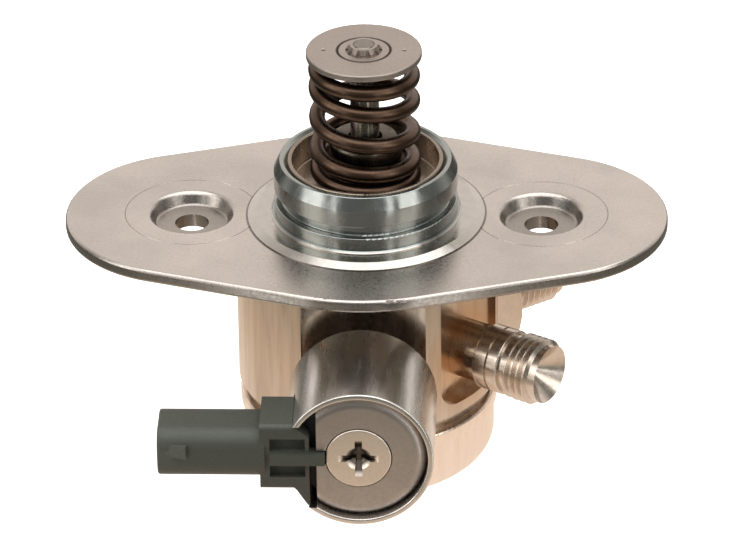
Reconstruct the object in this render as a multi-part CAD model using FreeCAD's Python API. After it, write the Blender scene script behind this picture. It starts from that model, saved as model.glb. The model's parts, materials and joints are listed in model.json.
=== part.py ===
import FreeCAD, Part
import math
import os

# High pressure fuel pump with a single plunger, for a petrol direct injection engine.
# All sizes are millimetres. The origin is where the plunger's axis meets the face of the
# flange that bolts to the engine. +Z runs out along the plunger, -Y along the solenoid
# valve and -X along its electrical connector.

# Clearances between pieces
press_gap = 0.02        # pieces pressed or welded together, on the radius
running_gap = 0.05      # plunger in its barrel, needle in its guide, on the radius
seat_gap = 0.03         # a piece that rests on a face
moving_gap = 0.15       # between moving pieces that don't guide each other

# Flange
bolt_spacing = 72.0
bolt_hole_radius = 3.5
flange_thickness = 2.8
flange_waist_radius = 37.0
flange_end_radius = 26.0
flange_edge_round = 0.8
pocket_mouth_radius = 8.7
pocket_floor_radius = 7.4
pocket_depth = 2.5
pocket_lip_round = 1.4
pocket_boss_radius = 8.8
coined_ring_radius = 13.7
coined_ring_width = 0.7
coined_ring_depth = 0.15

# Collar that locates the pump in the engine
neck_radius = 24.4
shoulder_radius = 22.6
shoulder_height = 1.0
collar_foot_radius = 19.6
collar_foot_height = 1.6
collar_radius = 18.85
collar_height = 13.1
collar_lead_height = 10.5
collar_rim_radius = 17.6
ring_groove_top = 6.75
ring_groove_bottom = 4.2
ring_groove_radius = 17.2
collar_bore_radius = 16.0
collar_bore_lead = 0.9

# Body below the flange
body_radius = 27.0
body_edge_height = -36.3
body_taper_inset = 1.4
body_taper_radius = body_radius - body_taper_inset
body_taper_end = -38.9
spigot_end = -46.2
damper_recess_wall = 4.85
damper_recess_floor = -38.2
slot_half_width = 12.75
slot_bottom = -35.0
marking_flat_bearing = -48.5
marking_flat_width = 7.8
outlet_flat_half_width = 10.2
outlet_flat_bottom = -34.0
flat_corner_round = 4.0

# Plunger, barrel and chamber
plunger_radius = 5.0
plunger_inner_end = -16.5
plunger_stop_gap = 0.1
stem_radius = 2.95
stem_end_radius = 2.2
stem_end_length = 2.6
stem_end_proud = 0.1
barrel_radius = 8.0
barrel_inner_end = -19.0
barrel_outer_end = 5.8
barrel_groove_depth = 0.5
barrel_groove_width = 3.0
barrel_groove_height = -6.0
chamber_radius = 5.6
chamber_end = -23.6
chamber_drill_radius = 2.2

# Spring and its retainer
retainer_radius = 11.8
retainer_top = 37.7
retainer_rim = 1.4
retainer_boss_radius = 7.8
retainer_boss_depth = 1.8
retainer_hub_radius = 5.2
retainer_hub_depth = 3.6
retainer_groove_radius = 5.4
retainer_groove_width = 0.5
retainer_groove_depth = 0.25
crimp_foot_radius = 3.3
crimp_top_radius = 2.85
crimp_height = 1.3
crimp_notch_radius = 0.48
crimp_notch_count = 10
dimple_offset = 8.2
dimple_radius = 0.55
dimple_depth = 0.35
spring_wire_radius = 1.65
spring_mean_radius = 9.75
spring_seat = 7.4
spring_closed_turns = 0.9
spring_pitch = 6.9
spring_start_angle = 18.0

# Seal carrier, a drawn cup that holds the plunger seal and seats the spring
carrier_sheet = 0.9
carrier_rim_height = 13.0
carrier_tube_radius = 7.4
carrier_tube_height = 18.0
carrier_bend = 1.2
seal_height = 3.0
seal_top_land = 1.0
seal_foot_land = 0.9
seal_foot_step = 1.2
seal_groove_depth = 2.0
seal_ring_inset = 0.6
seal_washer_height = 0.8
leak_channel_radius = 11.8
leak_channel_depth = 3.0
leak_drill_radius = 1.2
leak_drill_offset = 10.5
leak_drill_bearing = -120.0

# Damper under its drawn cap
cap_inset = 0.9
cap_radius = body_radius - cap_inset
cap_rim_proud = 0.6
cap_rim_radius = cap_radius + cap_rim_proud
cap_rim_top = -39.8
cap_rim_end = -42.6
cap_bottom = -54.4
cap_sheet = 1.25
damper_recess_radius = cap_radius - cap_sheet - damper_recess_wall
cap_corner = 5.0
capsule_gap = 2.85
capsule_radius = cap_radius - cap_sheet - capsule_gap
capsule_rim_height = -49.0
capsule_rim_width = 2.4
capsule_bulge = 2.4
diaphragm_sheet = 0.35
corrugation_radius = 13.0
corrugation_pitch = 2.6
clamp_ring_sheet = 0.8
clamp_window_count = 8
clamp_window_radius = 1.1

# Solenoid valve
valve_height = -26.5
valve_bore_radius = 6.85
valve_bore_start = 9.6
valve_face = 21.8
valve_neck_radius = 8.0
cover_gap = 0.3
cover_length = 27.2
cover_start = body_radius + cover_gap
cover_end = cover_start + cover_length
stop_thickness = 1.5
stop_hole_radius = 0.7
stop_hole_count = 5
stop_hole_offset = 3.4
disc_radius = 3.4
disc_thickness = 0.8
disc_lift = 0.4
seat_bore_radius = 2.4
seat_bore_depth = 5.0
seat_groove_depth = 1.2
seat_groove_width = 4.0
seat_feed_radius = 1.1
seat_feed_count = 6
seal_ring_section = 0.55
needle_radius = 1.25
needle_tip_radius = 0.8
needle_tip_length = 3.0
sleeve_inner_radius = 5.5
sleeve_wall = 0.6
armature_radius = 5.4
armature_length = 6.6
armature_depth = 5.0
armature_start = cover_start + armature_depth
armature_stroke = 0.5
core_inset = 4.0
core_end = cover_end - core_inset
core_pocket_radius = 2.6
core_pocket_depth = 4.5
bobbin_hub_radius = 7.2
bobbin_flange = 1.2
cover_radius = 15.1
cover_wall = 1.2
bobbin_gap = 1.3
bobbin_flange_radius = cover_radius - cover_wall - bobbin_gap
winding_inset = 0.4
winding_radius = bobbin_flange_radius - winding_inset
cover_bend = 1.6
plate_recess = 1.0
plate_edge_round = 2.6
plate_chord = 8.45
plate_notch_depth = 2.1
plate_notch_height = 3.2
screw_head_radius = 6.6
screw_head_thickness = 2.6
screw_head_proud = 0.3
screw_shank_radius = 2.5
screw_shank_length = 4.8
recess_arm = 4.1
recess_width = 1.5
recess_depth = 2.2

# Connector
connector_inset = 3.0
connector_depth_axis = core_end - connector_inset
shroud_end = 40.4
shroud_height = 10.8
shroud_depth = 13.4
shroud_round = 4.0
shroud_wall = 1.2
socket_depth = 13.5
block_side = 19.8
block_end = 9.9
block_height = 14.8
block_depth = 12.6
block_round = 1.2
block_foot = 10.9
pocket_height = 2.9
pocket_cut = 1.6
rib_height = 3.0
rib_proud = 0.8
latch_width = 2.8
latch_length = 3.4
latch_height = 1.0
latch_offset = 4.2
latch_rise = 1.7
pin_width = 1.5
pin_thickness = 0.64
pin_pitch = 5.0
pin_length = 9.5
pin_inner_end = 13.6

# Outlet
outlet_bearing = 58.0
outlet_height = -24.4
outlet_flat = 24.0
outlet_bore_radius = 5.6
outlet_bore_start = 13.0
outlet_neck_radius = 6.0
outlet_ring_start = 30.1
outlet_ring_radius = 6.8
outlet_thread_start = 36.3
outlet_end = 44.7
thread_radius = 7.0
thread_relief = 0.95
thread_chamfer = 1.0
outlet_groove = 33.0
outlet_groove_depth = 0.4
outlet_groove_width = 0.5
outlet_cone_mouth = 6.0
outlet_hole_radius = 1.75
outlet_seat_thickness = 3.0
outlet_seat_hole = 1.3
outlet_ball_radius = 2.2
outlet_chamber_radius = 3.0
outlet_spring_seat = 24.0

# Inlet
inlet_bearing = 125.6
inlet_height = -28.5
inlet_flat = 25.0
inlet_flat_drop = 12.0
inlet_bore_radius = 6.0
inlet_bore_start = 20.0
inlet_drill_radius = 3.0
inlet_drill_start = 14.5
inlet_feed_radius = 2.2
inlet_hex_flats = 19.0
inlet_hex_end = 32.5
inlet_thread_start = 33.6
inlet_thread_radius = 6.0
inlet_end = 46.2
inlet_hole_radius = 3.2
inlet_cone_mouth = 4.8
filter_sheet = 0.4
filter_start = 21.0
filter_length = 11.0
filter_window_rows = 4
filter_window_count = 8
filter_window_radius = 0.6

# Relief valve, set upright in the damper recess
relief_x = 14.9
relief_y = 1.3
relief_bore_radius = 3.2
relief_bore_top = -30.0
relief_meet_radius = 22.0
relief_drill_radius = 0.8
relief_seat_thickness = 2.0
relief_hole_radius = 0.7
relief_ball_radius = 1.2
relief_guide_radius = 2.3
relief_guide_length = 1.3
relief_stop_thickness = 1.1

origin = FreeCAD.Vector(0, 0, 0)
x_axis = FreeCAD.Vector(1, 0, 0)
z_axis = FreeCAD.Vector(0, 0, 1)


def at(x, y, z):
    return FreeCAD.Vector(x, y, z)


def corner_arc(before, corner, after, radius):
    # Start, middle and end of the arc that rounds a corner.
    back = (before - corner).normalize()
    ahead = (after - corner).normalize()
    half = back.getAngle(ahead) / 2
    reach = radius / math.tan(half)
    bisector = (back + ahead).normalize()
    centre = corner + bisector * (radius / math.sin(half))
    return corner + back * reach, centre - bisector * radius, corner + ahead * reach


def outline(points, rounds):
    # Closed wire through points. rounds gives the radius of a corner by its number.
    count = len(points)
    edges = []
    starts = []
    ends = []
    for number, corner in enumerate(points):
        radius = rounds.get(number, 0)
        if radius > 0:
            arc = corner_arc(points[number - 1], corner, points[(number + 1) % count], radius)
            edges.append(Part.Arc(*arc).toShape())
            starts.append(arc[0])
            ends.append(arc[2])
        else:
            starts.append(corner)
            ends.append(corner)
    for number in range(count):
        following = (number + 1) % count
        if ends[number].distanceToPoint(starts[following]) > 1e-6:
            edges.append(Part.LineSegment(ends[number], starts[following]).toShape())
    return Part.Wire(Part.__sortEdges__(edges))


def turned(section, rounds=None):
    # Solid of revolution about Z. section lists (radius, height) corners.
    points = [at(radius, 0, height) for radius, height in section]
    face = Part.Face(outline(points, rounds or {}))
    return face.revolve(origin, z_axis, 360)


def prism(points, rounds, bottom, height):
    # Upright prism on an outline of (x, y) corners.
    corners = [at(x, y, bottom) for x, y in points]
    return Part.Face(outline(corners, rounds)).extrude(at(0, 0, height))


def cylinder(radius, bottom, top, x=0, y=0):
    return Part.makeCylinder(radius, top - bottom, at(x, y, bottom))


def tube(outer, inner, bottom, top):
    return turned([(inner, bottom), (outer, bottom), (outer, top), (inner, top)])


def box(x_from, x_to, y_from, y_to, z_from, z_to):
    return Part.makeBox(x_to - x_from, y_to - y_from, z_to - z_from, at(x_from, y_from, z_from))


def ring_of(shape, count):
    # Copies of a shape, evenly spaced round Z.
    copies = []
    for number in range(count):
        copy = shape.copy()
        copy.rotate(origin, z_axis, 360.0 * number / count)
        copies.append(copy)
    return copies


def outward(shape, bearing, height):
    # Stands a shape built along +Z out from the plunger's axis. Bearing 0 is -Y and
    # bearing 90 is +X. The shape's own Y turns to +Z.
    placed = shape.copy()
    placed.rotate(origin, x_axis, 90)
    placed.rotate(origin, z_axis, bearing)
    placed.translate(at(0, 0, height))
    return placed


def valve_axis(shape):
    return outward(shape, 0, valve_height)


def outlet_axis(shape):
    return outward(shape, outlet_bearing, outlet_height)


def inlet_axis(shape):
    return outward(shape, inlet_bearing, inlet_height)


def relief_axis(shape):
    # Turns a shape built along +Z to point down the relief valve's bore.
    placed = shape.copy()
    placed.rotate(origin, x_axis, 180)
    placed.translate(at(relief_x, relief_y, 0))
    return placed


def coil_spring(mean_radius, wire_radius, bottom, top, closed_turns, pitch, start_angle=0.0):
    # Compression spring with closed ends. Its end turns lie close and the pitch grows in
    # two short steps to that of the free turns between them.
    closed_pitch = wire_radius * 2.12
    opening = pitch - closed_pitch
    steps = [closed_pitch, closed_pitch + opening * 0.25, closed_pitch + opening * 0.65]
    lengths = [closed_turns, 0.25, 0.25]
    rise = top - bottom - 2 * wire_radius
    ends = 2 * sum(turns * step for turns, step in zip(lengths, steps))
    free_turns = (rise - ends) / pitch
    plan = list(zip(lengths, steps)) + [(free_turns, pitch)] + list(zip(lengths, steps))[::-1]
    edges = []
    height = bottom + wire_radius
    angle = start_angle
    for turns, step in plan:
        helix = Part.makeHelix(step, step * turns, mean_radius)
        helix.rotate(origin, z_axis, angle)
        helix.translate(at(0, 0, height))
        edges += helix.Edges
        height += step * turns
        angle += 360.0 * turns
    path = Part.Wire(edges)
    first = path.OrderedEdges[0]
    start = first.valueAt(first.FirstParameter)
    section = Part.Wire([Part.makeCircle(wire_radius, start, first.tangentAt(first.FirstParameter))])
    sweep = Part.BRepOffsetAPI.MakePipeShell(path)
    sweep.setFrenetMode(True)
    sweep.add(section, False, False)
    sweep.build()
    sweep.makeSolid()
    return sweep.shape()


# Flange

def flange_outline():
    # Oval of one middle arc and two end arcs round the bolts, joined by their tangents.
    offset = bolt_spacing / 2
    lean = math.asin((flange_waist_radius - flange_end_radius) / offset)

    def on_waist(angle):
        return at(flange_waist_radius * math.cos(angle), flange_waist_radius * math.sin(angle), 0)

    def on_end(side, angle):
        x = side * offset + flange_end_radius * math.cos(angle)
        return at(x, flange_end_radius * math.sin(angle), 0)

    right = math.pi / 2 - lean
    left = math.pi / 2 + lean
    edges = [
        Part.Arc(on_end(1, -right), on_end(1, 0), on_end(1, right)).toShape(),
        Part.LineSegment(on_end(1, right), on_waist(right)).toShape(),
        Part.Arc(on_waist(right), on_waist(math.pi / 2), on_waist(left)).toShape(),
        Part.LineSegment(on_waist(left), on_end(-1, left)).toShape(),
        Part.Arc(on_end(-1, left), on_end(-1, math.pi), on_end(-1, -left)).toShape(),
        Part.LineSegment(on_end(-1, -left), on_waist(-left)).toShape(),
        Part.Arc(on_waist(-left), on_waist(-math.pi / 2), on_waist(-right)).toShape(),
        Part.LineSegment(on_waist(-right), on_end(1, -right)).toShape(),
    ]
    return Part.Wire(edges)


def pocket_cut_shape():
    above = 2.0
    section = [(0, above), (pocket_mouth_radius + above, above), (pocket_mouth_radius + above, 0),
               (pocket_mouth_radius, 0), (pocket_floor_radius, -pocket_depth), (0, -pocket_depth)]
    return turned(section, {3: pocket_lip_round, 4: 0.8})


def mounting_flange():
    blank = Part.Face(flange_outline()).extrude(at(0, 0, flange_thickness))
    blank.translate(at(0, 0, -flange_thickness))
    rim = [edge for edge in blank.Edges if abs(edge.BoundBox.ZLength) < 1e-6]
    plate = blank.makeFillet(flange_edge_round, rim)
    boss = turned([(0, -flange_thickness / 2), (pocket_boss_radius, -flange_thickness / 2),
                   (pocket_boss_radius, -flange_thickness - pocket_depth),
                   (0, -flange_thickness - pocket_depth)], {2: 0.8})
    ring = turned([(coined_ring_radius, -coined_ring_depth),
                   (coined_ring_radius + coined_ring_width / 2, 0.5),
                   (coined_ring_radius - coined_ring_width / 2, 0.5)])
    hole = cylinder(bolt_hole_radius, -flange_thickness - pocket_depth - 1, 1)
    for side in (-1, 1):
        seat = at(side * bolt_spacing / 2, 0, 0)
        plate = plate.fuse(boss.translated(seat))
        plate = plate.cut(pocket_cut_shape().translated(seat))
        plate = plate.cut(ring.translated(seat)).cut(hole.translated(seat))
    return plate.cut(cylinder(neck_radius + press_gap, -flange_thickness - 1, 1))


# Body

def body_blank():
    spigot_radius = cap_radius - cap_sheet - press_gap
    section = [
        (0, damper_recess_floor), (damper_recess_radius, damper_recess_floor),
        (damper_recess_radius, spigot_end), (spigot_radius - 0.5, spigot_end),
        (spigot_radius, spigot_end + 0.5), (spigot_radius, body_taper_end),
        (body_taper_radius, body_taper_end), (body_radius, body_edge_height),
        (body_radius, -flange_thickness), (neck_radius, -flange_thickness), (neck_radius, 0.2),
        (shoulder_radius, shoulder_height),
        (collar_foot_radius, shoulder_height), (collar_foot_radius, collar_foot_height - 0.4),
        (collar_foot_radius - 0.4, collar_foot_height), (collar_radius, collar_foot_height),
        (collar_radius, ring_groove_bottom), (ring_groove_radius, ring_groove_bottom),
        (ring_groove_radius, ring_groove_top), (collar_radius, ring_groove_top),
        (collar_radius, collar_lead_height), (collar_rim_radius, collar_height),
        (collar_bore_radius + collar_bore_lead, collar_height),
        (collar_bore_radius, collar_height - collar_bore_lead),
        (collar_bore_radius, spring_seat - carrier_sheet), (0, spring_seat - carrier_sheet),
    ]
    rounds = {1: 0.5, 16: 0.25, 17: 0.3, 18: 0.3, 19: 0.25, 21: 0.3}
    return turned(section, rounds)


def body_flats():
    # What is milled off the outside of the body.
    far = body_radius + 5
    top = -flange_thickness
    half = slot_half_width
    bottom = slot_bottom - valve_height
    upper = top - valve_height
    slot = prism([(-half, bottom), (half, bottom), (half, upper), (-half, upper)],
                 {0: flat_corner_round, 1: flat_corner_round}, valve_face, far - valve_face)
    half = outlet_flat_half_width
    bottom = outlet_flat_bottom - outlet_height
    upper = top - outlet_height
    window = prism([(-half, bottom), (half, bottom), (half, upper), (-half, upper)],
                   {0: flat_corner_round, 1: flat_corner_round}, outlet_flat, far - outlet_flat)
    inlet_window = box(-far, far, -far, far, inlet_flat, far)
    inlet_window = inlet_window.common(box(-far, far, -inlet_flat_drop, top - inlet_height, inlet_flat, far))
    chord = math.sqrt(body_radius ** 2 - (marking_flat_width / 2) ** 2)
    marking = outward(box(-far, far, body_taper_end - top - 1, 0, chord, far), marking_flat_bearing, top)
    marking = marking.common(box(-far, far, -far, far, body_taper_end, top))
    return [valve_axis(slot), outlet_axis(window), inlet_axis(inlet_window), marking]


def body_bores():
    seat_floor = spring_seat - carrier_sheet
    bores = [
        cylinder(barrel_radius, barrel_inner_end, seat_floor + 1),
        cylinder(leak_channel_radius, seat_floor - leak_channel_depth, seat_floor + 1),
        cylinder(chamber_radius, chamber_end, barrel_inner_end + 1),
        cylinder(chamber_drill_radius, valve_height, chamber_end + 1),
        valve_axis(cylinder(chamber_drill_radius, 0, valve_bore_start)),
        valve_axis(cylinder(stop_hole_offset + 1, valve_bore_start - 1.2, valve_bore_start + 1)),
        valve_axis(cylinder(valve_bore_radius, valve_bore_start, valve_face + 1)),
        outlet_axis(cylinder(outlet_seat_hole + 0.3, 0, outlet_bore_start + 1)),
        outlet_axis(cylinder(outlet_bore_radius, outlet_bore_start, outlet_flat + 1)),
        inlet_axis(cylinder(inlet_drill_radius, inlet_drill_start, inlet_bore_start + 1)),
        inlet_axis(cylinder(inlet_bore_radius, inlet_bore_start, inlet_flat + 1)),
    ]
    feed = valve_bore_start + stop_thickness + disc_thickness + 6.2
    bores.append(cylinder(1.6, damper_recess_floor - 1, valve_height - valve_bore_radius + 1, 0, -feed))
    angle = math.radians(leak_drill_bearing)
    bores.append(cylinder(leak_drill_radius, damper_recess_floor - 1, seat_floor - leak_channel_depth + 1,
                          leak_drill_offset * math.sin(angle), -leak_drill_offset * math.cos(angle)))
    angle = math.radians(inlet_bearing)
    reach = inlet_drill_start + inlet_feed_radius + 0.6
    bores.append(cylinder(inlet_feed_radius, damper_recess_floor - 1, inlet_height,
                          reach * math.sin(angle), -reach * math.cos(angle)))
    bores.append(cylinder(relief_bore_radius, damper_recess_floor - 1, relief_bore_top, relief_x, relief_y))
    bores.append(cylinder(relief_drill_radius, relief_bore_top - 1, outlet_height, relief_x, relief_y))
    angle = math.radians(outlet_bearing)
    meet = at(relief_meet_radius * math.sin(angle), -relief_meet_radius * math.cos(angle), outlet_height)
    start = at(relief_x, relief_y, outlet_height)
    bores.append(Part.makeCylinder(relief_drill_radius, start.distanceToPoint(meet), start, meet - start))
    bores.append(Part.makeSphere(relief_drill_radius, start))
    return bores


def pump_body():
    body = body_blank()
    for cut in body_flats() + body_bores():
        body = body.cut(cut)
    return body


# Plunger, barrel and seal

def barrel():
    radius = barrel_radius - press_gap
    groove = barrel_groove_height
    half = barrel_groove_width / 2
    section = [
        (plunger_radius + running_gap, barrel_inner_end + seat_gap),
        (radius - 0.4, barrel_inner_end + seat_gap), (radius, barrel_inner_end + seat_gap + 0.4),
        (radius, groove - half), (radius - barrel_groove_depth, groove - half),
        (radius - barrel_groove_depth, groove + half), (radius, groove + half),
        (radius, barrel_outer_end - 0.8), (radius - 0.8, barrel_outer_end),
        (plunger_radius + running_gap + 0.5, barrel_outer_end),
        (plunger_radius + running_gap, barrel_outer_end - 0.5),
    ]
    return turned(section)


def plunger_top():
    return retainer_top + crimp_height + stem_end_proud


def plunger():
    top = plunger_top()
    shoulder = seal_washer_bottom() - plunger_stop_gap
    section = [
        (0, plunger_inner_end), (plunger_radius - 0.4, plunger_inner_end),
        (plunger_radius, plunger_inner_end + 0.4), (plunger_radius, shoulder - 0.4),
        (plunger_radius - 0.4, shoulder), (stem_radius, shoulder),
        (stem_radius, top - stem_end_length), (stem_end_radius, top - stem_end_length),
        (stem_end_radius, top - 0.2), (stem_end_radius - 0.2, top), (0, top),
    ]
    return turned(section)


def spring_retainer():
    under = retainer_top - retainer_rim
    neck = stem_end_radius + press_gap
    shelf = plunger_top() - stem_end_length
    section = [
        (neck, shelf), (stem_radius + press_gap, shelf),
        (stem_radius + press_gap, under - retainer_hub_depth),
        (retainer_hub_radius, under - retainer_hub_depth),
        (retainer_hub_radius, under - retainer_boss_depth),
        (retainer_boss_radius, under - retainer_boss_depth), (retainer_boss_radius, under),
        (retainer_radius, under), (retainer_radius, retainer_top),
        (crimp_foot_radius, retainer_top), (crimp_top_radius, retainer_top + crimp_height),
        (neck, retainer_top + crimp_height),
    ]
    plate = turned(section, {3: 0.4, 5: 0.5, 7: 0.3, 8: 0.35, 9: 0.15})
    half = retainer_groove_width / 2
    groove = turned([(retainer_groove_radius, retainer_top - retainer_groove_depth),
                     (retainer_groove_radius + half, retainer_top + 0.2),
                     (retainer_groove_radius - half, retainer_top + 0.2)])
    plate = plate.cut(groove)
    notch = cylinder(crimp_notch_radius, retainer_top - 0.2, retainer_top + crimp_height + 1,
                     crimp_foot_radius, 0)
    for cut in ring_of(notch, crimp_notch_count):
        plate = plate.cut(cut)
    for side in (-1, 1):
        dimple = Part.makeCone(0, 2 * dimple_radius, 2 * dimple_depth,
                               at(side * dimple_offset, 0, retainer_top - dimple_depth))
        plate = plate.cut(dimple)
    return plate


def plunger_spring():
    return coil_spring(spring_mean_radius, spring_wire_radius, spring_seat + seat_gap,
                       retainer_top - retainer_rim - seat_gap, spring_closed_turns, spring_pitch,
                       spring_start_angle)


def seal_carrier():
    outer = collar_bore_radius - press_gap
    floor = spring_seat - carrier_sheet
    inner = carrier_tube_radius - carrier_sheet
    hole = stem_radius + 0.6
    bend = carrier_bend
    section = [
        (inner, floor), (outer, floor), (outer, carrier_rim_height),
        (outer - carrier_sheet, carrier_rim_height), (outer - carrier_sheet, spring_seat),
        (carrier_tube_radius, spring_seat), (carrier_tube_radius, carrier_tube_height),
        (hole, carrier_tube_height), (hole, carrier_tube_height - carrier_sheet),
        (inner, carrier_tube_height - carrier_sheet),
    ]
    rounds = {0: 0.6, 1: bend, 2: 0.3, 3: 0.3, 4: 0.4, 5: 0.5, 6: bend, 9: 0.3}
    return turned(section, rounds)


def seal_stack_top():
    return carrier_tube_height - carrier_sheet - seat_gap


def seal_washer_bottom():
    return seal_stack_top() - seal_height - seat_gap - seal_washer_height


def plunger_seal():
    # Lip seal. The energizer ring lies in the groove round it.
    top = seal_stack_top()
    bottom = top - seal_height
    inner = stem_radius + running_gap
    outer = carrier_tube_radius - carrier_sheet - press_gap
    section = [
        (inner, bottom + 0.3), (inner + 0.3, bottom), (outer - seal_foot_step, bottom),
        (outer - seal_foot_step, bottom + seal_foot_land),
        (outer - seal_groove_depth, bottom + seal_foot_land),
        (outer - seal_groove_depth, top - seal_top_land), (outer, top - seal_top_land), (outer, top - 0.35), (outer - 0.35, top), (inner, top),
    ]
    return turned(section)


def seal_energizer_ring():
    outer = carrier_tube_radius - carrier_sheet - press_gap
    section_radius = (seal_height - seal_top_land - seal_foot_land) / 2 - seat_gap
    centre = seal_stack_top() - seal_top_land - section_radius - seat_gap
    return Part.makeTorus(outer - section_radius - seal_ring_inset, section_radius, at(0, 0, centre))


def seal_support_washer():
    # The plunger's shoulder stops under it, which keeps the plunger in the pump.
    bottom = seal_washer_bottom()
    outer = carrier_tube_radius - carrier_sheet - press_gap
    return tube(outer, stem_radius + 0.3, bottom, bottom + seal_washer_height)


# Damper

def damper_cap():
    inner = cap_radius - cap_sheet
    section = [
        (0, cap_bottom), (cap_radius, cap_bottom), (cap_radius, cap_rim_end), (cap_rim_radius, cap_rim_end),
        (cap_rim_radius, cap_rim_top), (inner, cap_rim_top),
        (inner, cap_bottom + cap_sheet), (0, cap_bottom + cap_sheet),
    ]
    return turned(section, {1: cap_corner, 3: 0.25, 4: 0.4, 6: cap_corner - cap_sheet})


def diaphragm(side):
    # Corrugated disc of the gas filled capsule. side is 1 for the upper one.
    rim = capsule_rim_height
    half = diaphragm_sheet
    radii = [capsule_radius - capsule_rim_width - 1.4, corrugation_radius,
             corrugation_radius - corrugation_pitch, corrugation_radius - 2 * corrugation_pitch]
    levels = [capsule_bulge, capsule_bulge - 0.9, capsule_bulge, capsule_bulge - 0.6]
    lower = [(capsule_radius, 0), (capsule_radius - capsule_rim_width, 0)]
    for radius, level in zip(radii, levels):
        lower.append((radius, level))
    lower.append((0, levels[-1]))
    upper = [(radius, level + half) for radius, level in lower[::-1]]
    section = [(radius, rim + side * (level + seat_gap / 2)) for radius, level in lower + upper]
    rounds = {1: 0.5, 2: 0.8, 3: 0.8, 4: 0.8, 5: 0.8, 8: 0.8, 9: 0.8, 10: 0.8, 11: 0.8, 12: 0.5}
    return turned(section, rounds)


def clamp_ring(bottom, top, outer, side):
    # Drawn ring that grips the capsule's rim, with windows that let the fuel through.
    lip = capsule_radius - capsule_rim_width + 0.3
    sheet = clamp_ring_sheet
    if side > 0:
        section = [(lip, bottom), (outer, bottom), (outer, top), (outer - sheet, top),
                   (outer - sheet, bottom + sheet), (lip, bottom + sheet)]
    else:
        section = [(lip, top), (lip, top - sheet), (outer - sheet, top - sheet), (outer - sheet, bottom),
                   (outer, bottom), (outer, top)]
    corner = {1: 0.5} if side > 0 else {5: 0.5}
    ring = turned(section, corner)
    window = Part.makeCylinder(clamp_window_radius, 8, at(outer - 4, 0, (bottom + top) / 2), x_axis)
    for cut in ring_of(window, clamp_window_count):
        ring = ring.cut(cut)
    return ring


def damper_clamp_ring_upper():
    bottom = capsule_rim_height + diaphragm_sheet + 2 * seat_gap
    return clamp_ring(bottom, spigot_end - seat_gap, capsule_radius, 1)


def damper_clamp_ring_lower():
    top = capsule_rim_height - diaphragm_sheet - 2 * seat_gap
    bottom = cap_bottom + cap_sheet + seat_gap
    return clamp_ring(bottom, top, capsule_radius - 1.0, -1)


# Solenoid valve, each piece built along +Z out from the plunger's axis

def valve_stop_end():
    return valve_bore_start + seat_gap + stop_thickness


def valve_disc_start():
    return valve_stop_end() + moving_gap


def valve_disc_end():
    return valve_disc_start() + disc_thickness


def valve_seat_start():
    return valve_disc_end() + disc_lift


def inlet_valve_stop():
    end = valve_stop_end()
    radius = valve_bore_radius - press_gap
    plate = cylinder(radius, valve_bore_start + seat_gap, end)
    wall = tube(radius, disc_radius + 1.4, end - 0.1, valve_seat_start() - seat_gap)
    plate = plate.fuse(wall).cut(cylinder(core_pocket_radius, end - 0.9, end + 1))
    for hole in ring_of(cylinder(stop_hole_radius, 0, end + 1, stop_hole_offset, 0), stop_hole_count):
        plate = plate.cut(hole)
    return valve_axis(plate)


def inlet_valve_spring():
    end = valve_stop_end()
    return valve_axis(coil_spring(1.9, 0.16, end - 0.9 + seat_gap, valve_disc_start() - seat_gap, 0.3, 0.5))


def inlet_valve_disc():
    radius = disc_radius
    start = valve_disc_start()
    end = valve_disc_end()
    return valve_axis(turned([(0, start), (radius, start), (radius, end), (0, end)], {1: 0.2, 2: 0.2}))


def valve_seal_start():
    return valve_face - 2.6


def inlet_valve_seat():
    start = valve_seat_start()
    radius = valve_bore_radius - press_gap
    groove = start + 2.0
    seal = valve_seal_start()
    seal_floor = radius - 2 * seal_ring_section - 0.1
    shoulder = cover_start + cover_wall + 0.2
    end = armature_start - armature_stroke - 0.5
    section = [
        (needle_radius + running_gap, start + seat_bore_depth), (seat_bore_radius, start + seat_bore_depth),
        (seat_bore_radius, start), (radius, start), (radius, groove), (radius - seat_groove_depth, groove),
        (radius - seat_groove_depth, groove + seat_groove_width), (radius, groove + seat_groove_width),
        (radius, seal), (seal_floor, seal), (seal_floor, seal + 1.6), (radius, seal + 1.6),
        (radius, valve_face + seat_gap), (valve_neck_radius, valve_face + seat_gap),
        (valve_neck_radius, cover_start), (radius, cover_start), (radius, shoulder),
        (sleeve_inner_radius - press_gap, shoulder), (sleeve_inner_radius - press_gap, end),
        (needle_radius + running_gap, end),
    ]
    seat = turned(section)
    feed = Part.makeCylinder(seat_feed_radius, radius, at(0, 0, groove + seat_groove_width / 2), x_axis)
    for hole in ring_of(feed, seat_feed_count):
        seat = seat.cut(hole)
    return valve_axis(seat)


def valve_seal_ring():
    centre = valve_bore_radius - press_gap - seal_ring_section - 0.03
    ring = Part.makeTorus(centre, seal_ring_section, at(0, 0, valve_seal_start() + 0.8))
    return valve_axis(ring)


def valve_needle():
    start = valve_disc_end() + seat_gap
    tip = start + needle_tip_length
    end = armature_start + armature_length - 0.4
    section = [(0, start), (needle_tip_radius, start), (needle_tip_radius, tip),
               (needle_radius, tip + 0.45), (needle_radius, end), (0, end)]
    return valve_axis(turned(section))


def armature_end():
    return armature_start + armature_length


def armature():
    inner = needle_radius + press_gap
    end = armature_end()
    section = [(inner, armature_start), (armature_radius, armature_start), (armature_radius, end),
               (inner, end)]
    shape = turned(section, {1: 0.4, 2: 0.3})
    hole = cylinder(0.7, armature_start - 1, end + 1, 3.9, 0)
    for cut in ring_of(hole, 4):
        shape = shape.cut(cut)
    return valve_axis(shape)


def core_start():
    return armature_end() + armature_stroke + 0.1


def armature_spring():
    bottom = armature_end() + seat_gap
    top = core_start() + core_pocket_depth - seat_gap
    return valve_axis(coil_spring(1.95, 0.3, bottom, top, 0.8, 1.2))


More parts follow.
